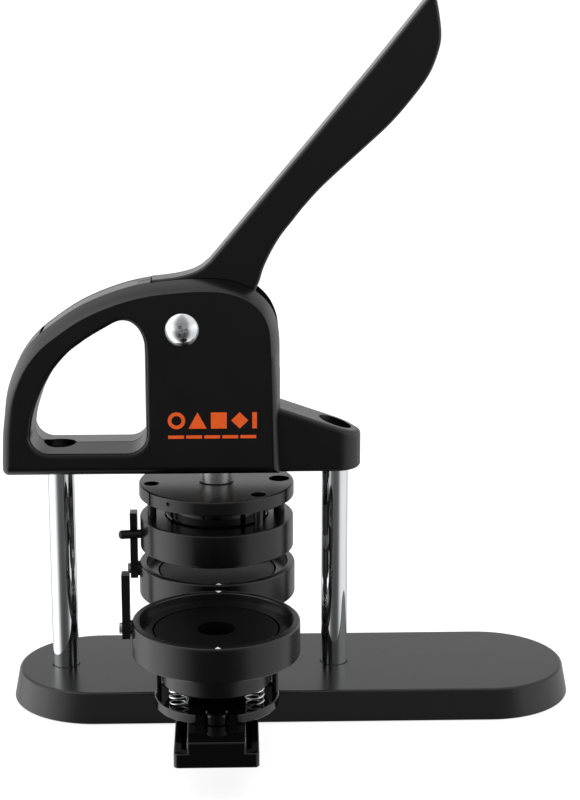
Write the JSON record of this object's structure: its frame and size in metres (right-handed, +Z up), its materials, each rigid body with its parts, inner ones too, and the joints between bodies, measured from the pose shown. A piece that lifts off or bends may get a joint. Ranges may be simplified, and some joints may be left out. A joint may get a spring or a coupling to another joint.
{
  "type": "button badge maker",
  "caption": "Hand lever press for round pin badges: stadium base, two chrome columns, housing with carry handle, floating upper die and a slide tray with two sprung lower dies.",
  "frame": {"origin": "centre of the base at bench level, on the pad's rest face", "axes": "+X along the base towards the lever's tip side, +Y towards the back (the tray is pulled out towards -Y), +Z up"},
  "size_m": [0.301, 0.194, 0.3732],
  "materials": {
    "abs_black_satin": "satin moulded plastic",
    "abs_black_gloss": "glossy moulded plastic",
    "nylon_black": "dark satin",
    "grip_grey": "fine matt",
    "rubber_black": "matt",
    "chrome_polished": "polished",
    "screw_zinc": "bright zinc",
    "ground_steel": "ground",
    "plain_steel": "plain",
    "spring_steel": "bright wire",
    "bronze": "sintered"
  },
  "bodies": {
    "frame": {"base_shell": "abs_black_satin", "base_plate": "plain_steel", "anti_slip_pad": "rubber_black", "base_screws": "plain_steel", "column_bolts": "plain_steel", "column_left": "chrome_polished", "column_right": "chrome_polished", "column_top_screws": "screw_zinc", "guide_rail": "plain_steel", "rail_screws": "plain_steel", "detent_ball": "screw_zinc", "detent_spring": "spring_steel", "housing_front": "abs_black_satin", "housing_rear": "abs_black_satin", "housing_screws": "plain_steel", "grip_inlay": "grip_grey", "pivot_screw": "screw_zinc", "pivot_barrel_nut": "ground_steel", "ram_bush": "bronze", "ram_return_spring": "spring_steel"},
    "lever": {"lever": "abs_black_satin", "cam_roller": "ground_steel", "roller_pin": "ground_steel"},
    "ram": {"ram": "ground_steel", "spring_retainer": "plain_steel", "retaining_ring": "plain_steel", "top_plate": "abs_black_satin", "plate_set_screw": "plain_steel", "punch_upper": "abs_black_gloss", "punch_lower": "abs_black_gloss", "ram_screw": "plain_steel"},
    "ring": {"upper_ring": "abs_black_satin", "press_ring_insert": "abs_black_gloss", "guide_posts": "nylon_black", "index_post": "nylon_black"},
    "selector": {"selector_collar": "abs_black_gloss", "selector_pin": "nylon_black"},
    "tray": {"slide_tray": "abs_black_gloss", "tray_stop_screw": "plain_steel", "die_locators": "abs_black_gloss", "die_base_a": "abs_black_gloss", "die_base_b": "abs_black_gloss", "die_base_screws": "plain_steel", "die_posts_a": "plain_steel", "die_posts_b": "plain_steel", "die_springs_a": "spring_steel", "die_springs_b": "spring_steel"},
    "cup_a": {"cup_a": "abs_black_satin", "inner_disc_a": "abs_black_gloss", "bar_a": "nylon_black", "bar_rivet_a": "plain_steel"},
    "cup_b": {"cup_b": "abs_black_satin", "inner_disc_b": "abs_black_gloss", "bar_b": "nylon_black", "bar_rivet_b": "plain_steel"}
  },
  "joints": [
    {"name": "lever_press", "type": "hinge", "parent": "frame", "child": "lever", "pos_m": [-0.0568, 0, 0.2055], "axis": [0, 1, 0], "range_deg": [0, 55], "stiffness_Nm_per_rad": 0.6, "springref_deg": -34.38},
    {"name": "ram_slide", "type": "slide", "parent": "frame", "child": "ram", "axis": [0, 0, -1], "range_m": [0, 0.01775], "deforming": ["ram_return_spring"]},
    {"name": "ring_float", "type": "slide", "parent": "ram", "child": "ring", "axis": [0, 0, 1], "range_m": [0, 0.01085]},
    {"name": "tray_slide", "type": "slide", "parent": "frame", "child": "tray", "axis": [0, 1, 0], "range_m": [0, 0.091]},
    {"name": "selector_turn", "type": "hinge", "parent": "ring", "child": "selector", "pos_m": [-0.04, 0, 0.0918], "axis": [0, 0, 1], "range_deg": [-16.7, 0]},
    {"name": "cup_a_press", "type": "slide", "parent": "tray", "child": "cup_a", "axis": [0, 0, -1], "range_m": [0, 0.005], "stiffness_N_per_m": 2000, "springref_m": -0.003, "deforming": ["die_springs_a"]},
    {"name": "cup_b_press", "type": "slide", "parent": "tray", "child": "cup_b", "axis": [0, 0, -1], "range_m": [0, 0.005], "stiffness_N_per_m": 2000, "springref_m": -0.003, "deforming": ["die_springs_b"]}
  ],
  "couplings": [
    {"joint": "ram_slide", "follows": "lever_press", "m_per_rad": 0.01847},
    {"joint": "ring_float", "follows": "lever_press", "m_per_rad": 0.011251},
    {"joint": "selector_turn", "follows": "tray_slide", "rad_per_m": -3.1838}
  ]
}
